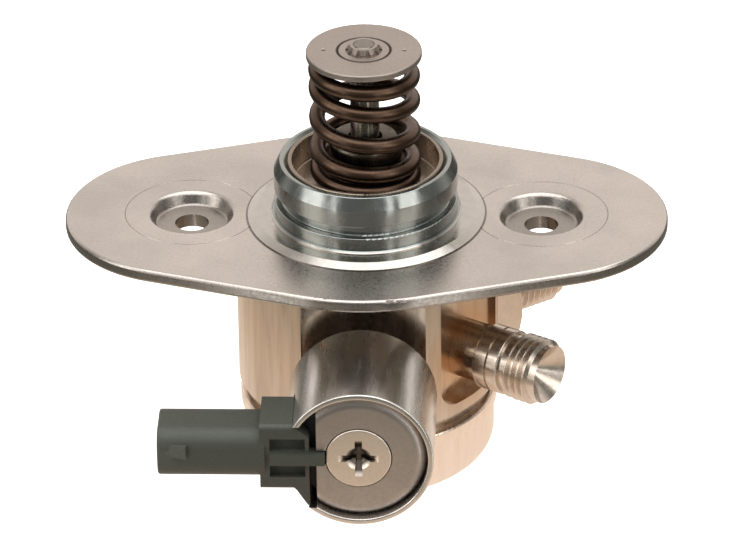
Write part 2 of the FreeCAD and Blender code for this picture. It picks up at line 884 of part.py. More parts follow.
def valve_sleeve():
    start = cover_start + cover_wall + 0.25
    outer = sleeve_inner_radius + sleeve_wall
    return valve_axis(tube(outer, sleeve_inner_radius, start, core_start() + 3.5))


def fixed_core():
    start = core_start()
    shoulder = start + 3.5 + seat_gap
    inner = sleeve_inner_radius - press_gap
    outer = sleeve_inner_radius + sleeve_wall
    section = [
        (core_pocket_radius, start), (inner, start), (inner, shoulder), (outer, shoulder),
        (outer, core_end), (screw_shank_radius + press_gap, core_end),
        (screw_shank_radius + press_gap, core_end - 4.4), (0, core_end - 4.4 - 1.2),
        (0, start + core_pocket_depth), (core_pocket_radius, start + core_pocket_depth),
    ]
    return valve_axis(turned(section, {1: 0.3}))


def bobbin_start():
    return cover_start + cover_wall + 2 * seat_gap + 0.2


def coil_bobbin():
    start = bobbin_start()
    end = core_end - seat_gap
    inner = sleeve_inner_radius + sleeve_wall + press_gap
    section = [
        (inner, start), (bobbin_flange_radius, start), (bobbin_flange_radius, start + bobbin_flange),
        (bobbin_hub_radius, start + bobbin_flange), (bobbin_hub_radius, end - bobbin_flange),
        (bobbin_flange_radius, end - bobbin_flange), (bobbin_flange_radius, end), (inner, end),
    ]
    return valve_axis(turned(section))


def coil_winding():
    start = bobbin_start() + bobbin_flange + seat_gap
    end = core_end - bobbin_flange - 2 * seat_gap
    return valve_axis(tube(winding_radius, bobbin_hub_radius + press_gap, start, end))


def solenoid_cover():
    inner = cover_radius - cover_wall
    start = cover_start + seat_gap
    section = [
        (valve_bore_radius + 0.1, start), (cover_radius, start), (cover_radius, cover_end),
        (inner, cover_end), (inner, start + cover_wall), (valve_bore_radius + 0.1, start + cover_wall),
    ]
    rounds = {1: cover_bend, 2: 0.4, 3: 0.4, 4: 0.5}
    shell = turned(section, rounds)
    start = connector_depth_axis - block_depth / 2 - 0.15
    side = -block_end + 1.4
    high = block_height / 2 + 0.15
    low = -block_foot - 0.3
    window = prism([(-cover_radius - 2, low), (side, low), (side, high), (-cover_radius - 2, high)], {},
                   start, cover_end)
    return valve_axis(shell.cut(window))


def plate_front():
    return cover_end - plate_recess


def end_plate():
    front = plate_front()
    back = core_end + seat_gap
    radius = cover_radius - cover_wall - press_gap
    section = [
        (screw_shank_radius + 0.2, back), (radius, back), (radius, front),
        (screw_head_radius + 0.12, front), (screw_head_radius + 0.12, screw_head_start()),
        (screw_shank_radius + 0.2, screw_head_start()),
    ]
    plate = turned(section, {2: plate_edge_round, 3: 0.15})
    side = box(-radius - 1, -plate_chord, -radius - 1, radius + 1, back - 1, front + 1)
    half = plate_notch_height / 2
    notch = box(-plate_chord - 1, -plate_chord + plate_notch_depth, -half, half, back - 1, front + 1)
    return valve_axis(plate.cut(side).cut(notch))


def screw_head_start():
    return plate_front() + screw_head_proud - screw_head_thickness


def recess_wing(top):
    # One wing of the cross recess, a wedge that narrows to its floor.
    half = recess_width / 2
    wide = Part.makePolygon([at(-recess_arm, -half, top), at(recess_arm, -half, top),
                             at(recess_arm, half, top), at(-recess_arm, half, top),
                             at(-recess_arm, -half, top)])
    low = top - recess_depth
    short = recess_arm * 0.35
    thin = half * 0.6
    narrow = Part.makePolygon([at(-short, -thin, low), at(short, -thin, low), at(short, thin, low),
                               at(-short, thin, low), at(-short, -thin, low)])
    return Part.makeLoft([narrow, wide], True, True)


def cover_screw():
    start = screw_head_start() + seat_gap
    face = plate_front() + screw_head_proud
    end = start - screw_shank_length
    section = [
        (0, end), (screw_shank_radius - 0.5, end), (screw_shank_radius, end + 0.5),
        (screw_shank_radius, start), (screw_head_radius, start), (screw_head_radius, face), (0, face),
    ]
    screw = turned(section, {5: 0.35})
    wing = recess_wing(face + 0.02)
    turned_wing = wing.copy()
    turned_wing.rotate(origin, z_axis, 90)
    dish = Part.makeCone(1.2, 2.6, 1.4, at(0, 0, face - 1.38))
    return valve_axis(screw.cut(wing).cut(turned_wing).cut(dish))


# Connector. Built with X along the pump's X, Y up from the valve's axis and Z outwards.

def pin_places():
    return [connector_depth_axis - pin_pitch / 2, connector_depth_axis + pin_pitch / 2]


def connector_terminals():
    start = -(shroud_end - socket_depth + pin_length)
    pins = []
    for place in pin_places():
        blade = box(start, -pin_inner_end, -pin_thickness / 2, pin_thickness / 2,
                    place - pin_width / 2, place + pin_width / 2)
        ends = [edge for edge in blade.Edges if abs(edge.BoundBox.XMax - start) < 1e-6
                and edge.BoundBox.XLength < 1e-6 and edge.BoundBox.ZLength > pin_width / 2]
        pins.append(valve_axis(blade.makeChamfer(pin_thickness * 0.35, ends)))
    return Part.makeCompound(pins)


def shroud():
    half_up = shroud_height / 2
    half_out = shroud_depth / 2
    low = connector_depth_axis - half_out
    high = connector_depth_axis + half_out
    length = shroud_end - block_side + 1
    outer = rounded_bar(low, high, -half_up, half_up, shroud_round, -shroud_end, length)
    wall = shroud_wall
    socket = rounded_bar(low + wall, high - wall, -half_up + wall, half_up - wall, shroud_round - wall,
                         -shroud_end - 1, socket_depth + 1)
    mouth = [edge for edge in outer.Edges if abs(edge.BoundBox.XMax + shroud_end) < 1e-6]
    outer = outer.makeFillet(0.5, mouth)
    return outer.cut(socket)


def rounded_bar(out_from, out_to, up_from, up_to, radius, start, length):
    # Bar along X with a rounded rectangular section.
    corners = [at(start, up_from, out_from), at(start, up_to, out_from), at(start, up_to, out_to),
               at(start, up_from, out_to)]
    rounds = {0: radius, 1: radius, 2: radius, 3: radius}
    return Part.Face(outline(corners, rounds)).extrude(at(length, 0, 0))


def latch_nib():
    face = connector_depth_axis + shroud_depth / 2
    start = -shroud_end + latch_offset - latch_length / 2
    side = [at(start, 0, face - 0.3), at(start + latch_length, 0, face - 0.3),
            at(start + latch_length, 0, face + latch_height), at(start, 0, face)]
    wedge = Part.Face(Part.makePolygon(side + side[:1])).extrude(at(0, latch_width, 0))
    wedge.translate(at(0, latch_rise - latch_width / 2, 0))
    return wedge


def connector_block():
    low = connector_depth_axis - block_depth / 2
    high = connector_depth_axis + block_depth / 2
    half = block_height / 2
    block = rounded_bar(low, high, -half, half, block_round, -block_side, block_side - block_end)
    bevel = half * 0.45
    shoulder = prism([(-block_end + 1, half + 1), (-block_end - bevel, half + 1), (-block_end - bevel, half),
                      (-block_end + 1, half - bevel)], {}, low - 1, block_depth + 2)
    foot = prism([(-block_end, 1 - half), (-block_end - 3.6, 1 - half), (-block_end - 2.6, -half),
                  (-block_end - 0.4, -block_foot), (-block_end, -block_foot)], {}, low, block_depth)
    block = block.cut(shoulder).fuse(foot)
    middle = rib_height / 2
    for side in (-1, 1):
        inner_edge = side * middle
        outer_edge = side * (middle + pocket_height)
        recess = box(-block_side + 2.0, -block_end - 0.8, min(inner_edge, outer_edge),
                     max(inner_edge, outer_edge), high - pocket_cut, high + 1)
        block = block.cut(recess)
    rib = box(-block_side + 2.0, -plate_chord + plate_notch_depth - 0.4, -middle + 0.2, middle - 0.2,
              high - pocket_cut - 0.5, high + rib_proud)
    return block.fuse(rib)


def connector_housing():
    block = connector_block()
    room = cylinder(bobbin_flange_radius + 0.2, 0, core_end + 0.05)
    housing = block.cut(room)
    housing = valve_axis(housing.fuse(shroud()).fuse(latch_nib()))
    for pin in connector_terminals().Solids:
        housing = housing.cut(pin)
    return housing


# Outlet

def outlet_fitting():
    start = outlet_bore_start + seat_gap + outlet_seat_thickness + seat_gap
    spigot = outlet_bore_radius - press_gap
    relief = thread_radius - thread_relief
    depth = outlet_cone_mouth - outlet_hole_radius
    groove = outlet_groove
    ring = outlet_ring_radius
    section = [
        (outlet_chamber_radius, start), (spigot, start), (spigot, outlet_flat + seat_gap),
        (outlet_neck_radius, outlet_flat + seat_gap), (outlet_neck_radius, outlet_ring_start),
        (ring, outlet_ring_start), (ring, groove), (ring - outlet_groove_depth, groove),
        (ring - outlet_groove_depth, groove + outlet_groove_width), (ring, groove + outlet_groove_width),
        (ring, outlet_thread_start - 0.4), (relief, outlet_thread_start - 0.4),
        (relief, outlet_thread_start), (thread_radius, outlet_thread_start + thread_relief),
        (thread_radius, outlet_end - thread_chamfer), (thread_radius - thread_chamfer * 0.8, outlet_end),
        (outlet_cone_mouth, outlet_end), (outlet_hole_radius, outlet_end - depth),
        (outlet_hole_radius, outlet_spring_seat), (outlet_chamber_radius, outlet_spring_seat),
    ]
    return outlet_axis(turned(section, {5: 0.3, 10: 0.3}))


def outlet_seat_end():
    return outlet_bore_start + seat_gap + outlet_seat_thickness


def outlet_cone_depth():
    return 1.0


def outlet_valve_seat():
    start = outlet_bore_start + seat_gap
    end = outlet_seat_end()
    mouth = outlet_seat_hole + outlet_cone_depth()
    section = [(outlet_seat_hole, start), (outlet_bore_radius - press_gap, start),
               (outlet_bore_radius - press_gap, end), (mouth, end),
               (outlet_seat_hole, end - outlet_cone_depth())]
    return outlet_axis(turned(section))


def outlet_ball_centre():
    # The ball sits in the seat's 90 degree cone, a hair clear of it.
    apex = outlet_seat_end() - outlet_cone_depth() - outlet_seat_hole
    return apex + (outlet_ball_radius + seat_gap) * math.sqrt(2)


def outlet_valve_ball():
    return outlet_axis(Part.makeSphere(outlet_ball_radius, at(0, 0, outlet_ball_centre())))


def outlet_valve_spring():
    bottom = outlet_ball_centre() + outlet_ball_radius * 0.55
    return outlet_axis(coil_spring(2.35, 0.3, bottom + 0.25, outlet_spring_seat - seat_gap, 0.8, 1.5))


# Inlet

def inlet_fitting():
    start = inlet_bore_start + seat_gap
    hex_start = inlet_flat + seat_gap
    spigot = inlet_bore_radius - press_gap
    radius = inlet_thread_radius
    relief = radius - thread_relief
    depth = (inlet_cone_mouth - inlet_hole_radius) * 1.7
    core = inlet_hex_flats / 2
    section = [
        (inlet_hole_radius, start), (spigot, start), (spigot, hex_start), (relief, hex_start),
        (relief, inlet_thread_start), (radius, inlet_thread_start + thread_relief),
        (radius, inlet_end - thread_chamfer), (radius - thread_chamfer * 0.8, inlet_end),
        (inlet_cone_mouth, inlet_end), (inlet_hole_radius, inlet_end - depth),
    ]
    fitting = turned(section)
    across = inlet_hex_flats / math.sqrt(3)
    corners = []
    for number in range(6):
        angle = math.radians(60 * number + 30)
        corners.append((across * math.cos(angle), across * math.sin(angle)))
    nut = prism(corners, {}, hex_start, inlet_hex_end - hex_start)
    ease = turned([(0, hex_start), (core + 0.2, hex_start), (across + 0.1, hex_start + 0.9),
                   (across + 0.1, inlet_hex_end - 0.9), (core + 0.2, inlet_hex_end), (0, inlet_hex_end)])
    nut = nut.common(ease).cut(cylinder(inlet_hole_radius, hex_start - 1, inlet_hex_end + 1))
    return inlet_axis(fitting.fuse(nut))


def inlet_filter():
    outer = inlet_hole_radius - press_gap
    inner = outer - filter_sheet
    end = filter_start + filter_length
    narrow = outer - 1.2
    section = [
        (inner - 0.6, filter_start), (outer, filter_start), (outer, filter_start + 1.0),
        (narrow, end), (0, end), (0, end - filter_sheet), (narrow - filter_sheet, end - filter_sheet),
        (inner - 0.6, filter_start + 1.0),
    ]
    cup = turned(section)
    for row in range(filter_window_rows):
        place = filter_start + 2.6 + row * (filter_length - 4.2) / (filter_window_rows - 1)
        window = Part.makeCylinder(filter_window_radius, outer + 1, at(0, 0, place), x_axis)
        for cut in ring_of(window, filter_window_count):
            cup = cup.cut(cut)
    return inlet_axis(cup)


# Relief valve, each piece built along +Z and turned to point down its bore

def relief_start():
    return -relief_bore_top + seat_gap


def relief_seat_end():
    return relief_start() + relief_seat_thickness


def relief_valve_seat():
    start = relief_start()
    end = relief_seat_end()
    radius = relief_bore_radius - press_gap
    section = [(relief_hole_radius, start), (radius, start), (radius, end), (relief_hole_radius + 0.5, end),
               (relief_hole_radius, end - 0.5)]
    return relief_axis(turned(section))


def relief_ball_centre():
    apex = relief_seat_end() - 0.5 - relief_hole_radius
    return apex + (relief_ball_radius + seat_gap) * math.sqrt(2)


def relief_valve_ball():
    return relief_axis(Part.makeSphere(relief_ball_radius, at(0, 0, relief_ball_centre())))


def relief_guide_start():
    return relief_ball_centre() + 0.35


def relief_ball_guide():
    start = relief_guide_start()
    end = start + relief_guide_length
    cup = turned([(0, start), (relief_guide_radius, start), (relief_guide_radius, end), (1.0, end),
                  (1.0, end + 0.7), (0, end + 0.7)])
    dish = Part.makeSphere(relief_ball_radius + 0.02, at(0, 0, relief_ball_centre()))
    return relief_axis(cup.cut(dish))


def relief_stop_end():
    return -damper_recess_floor - 0.1


def relief_valve_spring():
    bottom = relief_guide_start() + relief_guide_length + seat_gap
    top = relief_stop_end() - relief_stop_thickness - seat_gap
    return relief_axis(coil_spring(1.6, 0.25, bottom, top, 0.5, 0.9))


def relief_valve_stop():
    end = relief_stop_end()
    start = end - relief_stop_thickness
    radius = relief_bore_radius - press_gap
    return relief_axis(tube(radius, 0.8, start, end))


def export_parts():
    pieces = [
        pump_body, mounting_flange, barrel, plunger, spring_retainer, plunger_spring, seal_carrier,
        plunger_seal, seal_energizer_ring, seal_support_washer, damper_cap, damper_clamp_ring_upper,
        damper_clamp_ring_lower, inlet_valve_stop, inlet_valve_spring, inlet_valve_disc, inlet_valve_seat,
        valve_seal_ring, valve_needle, armature, armature_spring, valve_sleeve, fixed_core, coil_bobbin,
        coil_winding, solenoid_cover, end_plate, cover_screw, connector_housing, connector_terminals,
        outlet_fitting, outlet_valve_seat, outlet_valve_ball, outlet_valve_spring, inlet_fitting,
        inlet_filter, relief_valve_seat, relief_valve_ball, relief_ball_guide, relief_valve_spring,
        relief_valve_stop,
    ]
    os.makedirs("parts", exist_ok=True)
    shapes = {piece.__name__: piece() for piece in pieces}
    shapes["damper_diaphragm_upper"] = diaphragm(1)
    shapes["damper_diaphragm_lower"] = diaphragm(-1)
    for name, shape in shapes.items():
        solids = shape.Solids
        print(name, len(solids), all(solid.isValid() for solid in solids), round(shape.Volume, 1))
        result = solids[0] if len(solids) == 1 else Part.makeCompound(solids)
        result.exportStep("parts/" + name + ".step")


export_parts()
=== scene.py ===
import json
import math

import bmesh
import bpy
from mathutils import Matrix, Vector


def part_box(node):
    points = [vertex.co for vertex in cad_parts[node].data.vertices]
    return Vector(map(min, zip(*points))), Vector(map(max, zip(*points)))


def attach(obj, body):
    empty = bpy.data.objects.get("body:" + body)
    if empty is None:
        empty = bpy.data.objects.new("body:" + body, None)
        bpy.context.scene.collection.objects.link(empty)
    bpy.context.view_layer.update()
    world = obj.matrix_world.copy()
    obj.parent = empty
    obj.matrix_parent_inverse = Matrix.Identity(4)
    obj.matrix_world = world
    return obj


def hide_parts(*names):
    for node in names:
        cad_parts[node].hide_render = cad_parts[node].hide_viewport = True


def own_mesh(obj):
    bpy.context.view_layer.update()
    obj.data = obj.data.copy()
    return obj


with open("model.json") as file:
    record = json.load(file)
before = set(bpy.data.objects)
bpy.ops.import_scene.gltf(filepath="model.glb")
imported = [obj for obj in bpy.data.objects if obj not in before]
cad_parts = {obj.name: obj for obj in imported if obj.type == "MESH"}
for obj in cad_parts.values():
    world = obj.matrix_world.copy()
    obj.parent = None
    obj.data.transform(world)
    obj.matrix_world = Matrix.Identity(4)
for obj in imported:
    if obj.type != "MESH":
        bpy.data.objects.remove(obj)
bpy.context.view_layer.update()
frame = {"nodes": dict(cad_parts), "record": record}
nodes = frame["nodes"]
nodeSlots = {part["node"]: part["material_slot"] for part in frame["record"]["subparts"]}
nodeBodies = {node: body for body, names in frame["record"]["behaviour"]["bodies"].items() for node in names}
mm = 0.001
print("frame loaded:", len(nodes), "nodes")


# Shader groups that the metals and the plastic share

def newGroup(name, inputs, outputs):
    group = bpy.data.node_groups.new(name, "ShaderNodeTree")
    for label, kind, value in inputs:
        socket = group.interface.new_socket(name=label, in_out="INPUT", socket_type=kind)
        if value is not None:
            socket.default_value = value
    for label, kind in outputs:
        group.interface.new_socket(name=label, in_out="OUTPUT", socket_type=kind)
    entry = group.nodes.new("NodeGroupInput")
    leave = group.nodes.new("NodeGroupOutput")
    return group, entry, leave


def noiseNode(tree, scale, detail, roughness=0.5):
    node = tree.nodes.new("ShaderNodeTexNoise")
    node.inputs["Scale"].default_value = scale
    node.inputs["Detail"].default_value = detail
    node.inputs["Roughness"].default_value = roughness
    return node


def mapRange(tree, source, low, high, toLow, toHigh):
    node = tree.nodes.new("ShaderNodeMapRange")
    node.inputs["From Min"].default_value = low
    node.inputs["From Max"].default_value = high
    node.inputs["To Min"].default_value = toLow
    node.inputs["To Max"].default_value = toHigh
    tree.links.new(source, node.inputs["Value"])
    return node.outputs["Result"]


def mixColour(tree, factor, first, second):
    node = tree.nodes.new("ShaderNodeMix")
    node.data_type = "RGBA"
    tree.links.new(factor, node.inputs[0])
    for source, socket in ((first, node.inputs[6]), (second, node.inputs[7])):
        if isinstance(source, bpy.types.NodeSocket):
            tree.links.new(source, socket)
        else:
            socket.default_value = (*source, 1)
    return node.outputs[2]


def axisDistance(tree, place):
    # How far a point lies from the pump's upright axis.
    flat = tree.nodes.new("ShaderNodeVectorMath")
    flat.operation = "MULTIPLY"
    flat.inputs[1].default_value = (1, 1, 0)
    tree.links.new(place.outputs["Object"], flat.inputs[0])
    reach = tree.nodes.new("ShaderNodeVectorMath")
    reach.operation = "LENGTH"
    tree.links.new(flat.outputs[0], reach.inputs[0])
    return reach.outputs["Value"]


def buildTarnish():
    # Cloudy change of tint, with fine marks that follow how the piece was made.
    group, entry, leave = newGroup("tarnish", [
        ("Vector", "NodeSocketVector", None), ("Color", "NodeSocketColor", (0.6, 0.6, 0.6, 1)),
        ("Tint", "NodeSocketColor", (0.5, 0.4, 0.35, 1)), ("Dark", "NodeSocketColor", (0.2, 0.2, 0.2, 1)),
        ("Cloud Size", "NodeSocketFloat", 60.0), ("Cloud", "NodeSocketFloat", 0.4),
        ("Mark Size", "NodeSocketFloat", 600.0), ("Marks", "NodeSocketFloat", 0.25),
        ("Roughness", "NodeSocketFloat", 0.4), ("Spread", "NodeSocketFloat", 0.12),
    ], [("Color", "NodeSocketColor"), ("Roughness", "NodeSocketFloat"), ("Height", "NodeSocketFloat")])
    link = group.links.new
    cloud = noiseNode(group, 60, 3, 0.55)
    link(entry.outputs["Vector"], cloud.inputs["Vector"])
    link(entry.outputs["Cloud Size"], cloud.inputs["Scale"])
    marks = noiseNode(group, 600, 4, 0.6)
    link(entry.outputs["Vector"], marks.inputs["Vector"])
    link(entry.outputs["Mark Size"], marks.inputs["Scale"])
    cloudShare = group.nodes.new("ShaderNodeMath")
    cloudShare.operation = "MULTIPLY"
    link(mapRange(group, cloud.outputs["Fac"], 0.38, 0.66, 0, 1), cloudShare.inputs[0])
    link(entry.outputs["Cloud"], cloudShare.inputs[1])
    tinted = mixColour(group, cloudShare.outputs[0], entry.outputs["Color"], entry.outputs["Tint"])
    markShare = group.nodes.new("ShaderNodeMath")
    markShare.operation = "MULTIPLY"
    link(mapRange(group, marks.outputs["Fac"], 0.42, 0.7, 0, 1), markShare.inputs[0])
    link(entry.outputs["Marks"], markShare.inputs[1])
    link(mixColour(group, markShare.outputs[0], tinted, entry.outputs["Dark"]), leave.inputs["Color"])
    swing = group.nodes.new("ShaderNodeMath")
    swing.operation = "MULTIPLY_ADD"
    link(mapRange(group, marks.outputs["Fac"], 0.3, 0.7, -1, 1), swing.inputs[0])
    link(entry.outputs["Spread"], swing.inputs[1])
    link(entry.outputs["Roughness"], swing.inputs[2])
    swing.use_clamp = True
    link(swing.outputs[0], leave.inputs["Roughness"])
    link(marks.outputs["Fac"], leave.inputs["Height"])
    return group


tarnish = buildTarnish()
markDepth = 0.06 * mm


def finish(name, colour, tint, dark, cloud=(60, 0.4), marks=(600, 0.25), rough=(0.4, 0.1), metallic=1.0,
           stretch=(1, 1, 1), bump=0.1):
    # cloud and marks hold a size and a share, rough a roughness and its spread. stretch draws the marks out
    # along the way the piece was worked.
    material = bpy.data.materials.new(name)
    material.use_nodes = True
    tree = material.node_tree
    shader = tree.nodes["Principled BSDF"]
    place = tree.nodes.new("ShaderNodeTexCoord")
    mapping = tree.nodes.new("ShaderNodeMapping")
    mapping.inputs["Scale"].default_value = stretch
    tree.links.new(place.outputs["Object"], mapping.inputs["Vector"])
    body = tree.nodes.new("ShaderNodeGroup")
    body.node_tree = tarnish
    tree.links.new(mapping.outputs["Vector"], body.inputs["Vector"])
    values = {"Color": (*colour, 1), "Tint": (*tint, 1), "Dark": (*dark, 1), "Cloud Size": cloud[0],
              "Cloud": cloud[1], "Mark Size": marks[0], "Marks": marks[1], "Roughness": rough[0],
              "Spread": rough[1]}
    for label, value in values.items():
        body.inputs[label].default_value = value
    tree.links.new(body.outputs["Color"], shader.inputs["Base Color"])
    tree.links.new(body.outputs["Roughness"], shader.inputs["Roughness"])
    shader.inputs["Metallic"].default_value = metallic
    raised = tree.nodes.new("ShaderNodeBump")
    raised.inputs["Strength"].default_value = bump
    raised.inputs["Distance"].default_value = markDepth
    tree.links.new(body.outputs["Height"], raised.inputs["Height"])
    tree.links.new(raised.outputs["Normal"], shader.inputs["Normal"])
    return material


finishes = {
    # The tan partly stands in for warm light thrown back from the floor (painted reflection).
    "machined_steel": finish("turnedBody", (0.62, 0.54, 0.46), (0.52, 0.42, 0.33), (0.34, 0.28, 0.22),
                             (55, 0.5), (420, 0.35), (0.22, 0.08), stretch=(1, 1, 0.10), bump=0.10),
    "pressed_steel": finish("tumbledFlange", (0.60, 0.55, 0.51), (0.46, 0.43, 0.40), (0.38, 0.355, 0.33),
                            (42, 0.75), (1300, 0.22), (0.30, 0.07), bump=0.1),
    "hardened_steel": finish("groundSteel", (0.26, 0.235, 0.20), (0.20, 0.18, 0.15), (0.12, 0.105, 0.09),
                             (80, 0.4), (900, 0.25), (0.25, 0.08)),
    "retainer_steel": finish("blastedRetainer", (0.42, 0.365, 0.325), (0.36, 0.31, 0.28), (0.27, 0.235, 0.21),
                             (90, 0.4), (2200, 0.3), (0.5, 0.06), bump=0.22),
    "spring_steel": finish("temperedSpring", (0.115, 0.074, 0.052), (0.085, 0.05, 0.034), (0.045, 0.03, 0.02),
                           (120, 0.6), (900, 0.2), (0.32, 0.06), bump=0.06),
    "carrier_steel": finish("drawnCarrier", (0.48, 0.40, 0.33), (0.39, 0.31, 0.25), (0.25, 0.20, 0.16),
                            (70, 0.4), (700, 0.25), (0.28, 0.08), stretch=(1, 1, 0.2)),
    "seal_plastic": finish("sealPlastic", (0.10, 0.085, 0.06), (0.08, 0.07, 0.05), (0.05, 0.04, 0.03),
                           (90, 0.4), (1500, 0.2), (0.5, 0.1), metallic=0.0),
    "seal_rubber": finish("sealRubber", (0.025, 0.025, 0.025), (0.035, 0.034, 0.033), (0.015, 0.015, 0.015),
                          (90, 0.4), (2000, 0.3), (0.65, 0.1), metallic=0.0),
    # The peach partly stands in for warm light thrown back from the floor (painted reflection).
    "cap_steel": finish("drawnCap", (0.87, 0.76, 0.67), (0.82, 0.68, 0.57), (0.68, 0.56, 0.46),
                        (45, 0.5), (500, 0.2), (0.30, 0.08), stretch=(1, 1, 0.15), bump=0.08),
    "diaphragm_steel": finish("diaphragmSheet", (0.52, 0.50, 0.47), (0.44, 0.41, 0.38), (0.3, 0.28, 0.27),
                              (60, 0.3), (700, 0.2), (0.28, 0.08)),
    "valve_spring_steel": finish("fineWire", (0.42, 0.42, 0.43), (0.35, 0.33, 0.32), (0.2, 0.2, 0.2),
                                 (90, 0.3), (1200, 0.2), (0.3, 0.08)),
    "magnet_steel": finish("magnetSteel", (0.38, 0.37, 0.36), (0.31, 0.29, 0.27), (0.2, 0.19, 0.18),
                           (70, 0.4), (800, 0.25), (0.35, 0.08)),
    # Near black, which also serves as painted shade in the gap beside the end plate.
    "bobbin_plastic": finish("bobbinPlastic", (0.010, 0.010, 0.010), (0.008, 0.008, 0.008), (0.006, 0.006, 0.006),
                             (80, 0.3), (1500, 0.2), (0.5, 0.08), metallic=0.0),
    "winding_copper": finish("windingCopper", (0.72, 0.36, 0.18), (0.6, 0.28, 0.14), (0.4, 0.18, 0.1),
                             (60, 0.3), (900, 0.4), (0.35, 0.1), stretch=(0.1, 1, 0.1)),
    "drawn_steel": finish("drawnCover", (0.68, 0.65, 0.62), (0.58, 0.55, 0.52), (0.38, 0.36, 0.34),
                          (50, 0.4), (500, 0.2), (0.26, 0.06), stretch=(1, 0.12, 1), bump=0.07),
    "plate_steel": finish("stampedPlate", (0.47, 0.43, 0.40), (0.40, 0.365, 0.34), (0.27, 0.245, 0.23),
                          (60, 0.5), (1600, 0.25), (0.42, 0.07), bump=0.16),
    "screw_zinc": finish("zincScrew", (0.80, 0.72, 0.64), (0.72, 0.63, 0.55), (0.55, 0.48, 0.42),
                         (110, 0.4), (1500, 0.2), (0.38, 0.08)),
    "connector_plastic": finish("mouldedConnector", (0.060, 0.066, 0.054), (0.050, 0.055, 0.045),
                                (0.038, 0.042, 0.035), (55, 0.5), (2200, 0.35), (0.5, 0.08), metallic=0.0,
                                bump=0.3),
    "terminal_brass": finish("tinnedTerminal", (0.62, 0.55, 0.40), (0.55, 0.45, 0.30), (0.4, 0.33, 0.2),
                             (80, 0.3), (900, 0.2), (0.3, 0.08)),
    "fitting_steel": finish("turnedFitting", (0.66, 0.585, 0.515), (0.56, 0.47, 0.385), (0.36, 0.30, 0.25),
                            (50, 0.3), (700, 0.14), (0.24, 0.06)),
    "filter_plastic": finish("filterPlastic", (0.75, 0.73, 0.68), (0.66, 0.63, 0.56), (0.5, 0.48, 0.42),
                             (80, 0.3), (1500, 0.2), (0.5, 0.08), metallic=0.0),
}


def tintOver(material, factor, colour):
    tree = material.node_tree
    shader = tree.nodes["Principled BSDF"]
    before = shader.inputs["Base Color"].links[0].from_socket
    tree.links.new(mixColour(tree, factor, before, colour), shader.inputs["Base Color"])


def shadeDeep(slot, axis, start, full, colour, share, ring=None):
    # A tint that comes in from start to full along axis, only between the radii of ring if it is given. In mm.
    tree = finishes[slot].node_tree
    place = tree.nodes.new("ShaderNodeTexCoord")
    split = tree.nodes.new("ShaderNodeSeparateXYZ")
    tree.links.new(place.outputs["Object"], split.inputs[0])
    factor = mapRange(tree, split.outputs[axis], start * mm, full * mm, 0, share)
    if ring:
        reach = axisDistance(tree, place)
        for operation, limit in (("GREATER_THAN", ring[0]), ("LESS_THAN", ring[1])):
            compare = tree.nodes.new("ShaderNodeMath")
            compare.operation = operation
            compare.inputs[1].default_value = limit * mm
            tree.links.new(reach, compare.inputs[0])
            both = tree.nodes.new("ShaderNodeMath")
            both.operation = "MULTIPLY"
            tree.links.new(factor, both.inputs[0])
            tree.links.new(compare.outputs[0], both.inputs[1])
            factor = both.outputs[0]
    tintOver(finishes[slot], factor, colour)


def shadeAround(slot, centre, inner, outer, colour, share):
    # A tint round a point, full up to inner from it and gone at outer. In mm.
    tree = finishes[slot].node_tree
    place = tree.nodes.new("ShaderNodeTexCoord")
    offset = tree.nodes.new("ShaderNodeVectorMath")
    offset.operation = "DISTANCE"
    offset.inputs[1].default_value = [value * mm for value in centre]
    tree.links.new(place.outputs["Object"], offset.inputs[0])
    factor = mapRange(tree, offset.outputs["Value"], inner * mm, outer * mm, share, 0)
    tintOver(finishes[slot], factor, colour)


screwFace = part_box("cover_screw")[0][1] / mm
retainerFace = 37.7
outletMouth = (20.35, -12.72, -24.4)
collarRadius = 19.4
flangeBore = 24.3

# Painted shade darkens the cross recess, the punch marks and the grooves round the plunger's end
shadeDeep("screw_zinc", "Y", screwFace + 0.3, screwFace + 0.8, (0.05, 0.04, 0.03), 0.9)
shadeDeep("retainer_steel", "Z", retainerFace - 0.04, retainerFace - 0.2, (0.06, 0.05, 0.04), 0.9,
          ring=(7.55, 8.85))
for ring, share in (((5.1, 5.75), 0.75), ((3.2, 3.75), 0.6)):
    shadeDeep("retainer_steel", "Z", 0, 1, (0.05, 0.04, 0.035), share, ring=ring)

# The collar is ground and bare, tinted darker blue-grey as a partly painted reflection of the dark room in front, and
# the top round it is neutral grey. The rest of the body is straw coloured, a tan that partly stands in for warm light
# from the floor (painted reflection), and round the outlet a painted warm reflection browns the body and the fitting
shadeDeep("machined_steel", "Z", -2, 0, (0.50, 0.49, 0.465), 0.8)
shadeDeep("machined_steel", "Z", 0, 0.5, (0.32, 0.345, 0.335), 0.9, ring=(0, collarRadius))
shadeAround("machined_steel", outletMouth, 7, 14.5, (0.52, 0.30, 0.14), 0.75)
shadeAround("fitting_steel", outletMouth, 5, 13, (0.50, 0.30, 0.15), 0.7)

# Painted shade: the flange's edge and sunk bolt seats below its face are darker, a thin painted shade line runs at the
# step round the body, and the carrier is darker inside the coils
shadeDeep("pressed_steel", "Z", -6, -5, (0.09, 0.08, 0.07), 0.7, ring=(flangeBore, flangeBore + 0.5))
shadeDeep("pressed_steel", "Z", -0.15, -0.8, (0.22, 0.20, 0.18), 0.6)
shadeDeep("carrier_steel", "Z", 10, 16, (0.07, 0.06, 0.045), 0.85)

for name, node in nodes.items():
    node.data.materials.clear()
    node.data.materials.append(finishes[nodeSlots[name]])
print("finishes made:", len(finishes))


# Pieces that keep the solids' shapes, with their loose triangles joined so that they shade evenly

def evaluatedMesh(obj, name):
    depsgraph = bpy.context.evaluated_depsgraph_get()
    mesh = bpy.data.meshes.new_from_object(obj.evaluated_get(depsgraph), depsgraph=depsgraph)
    mesh.name = name
    return mesh


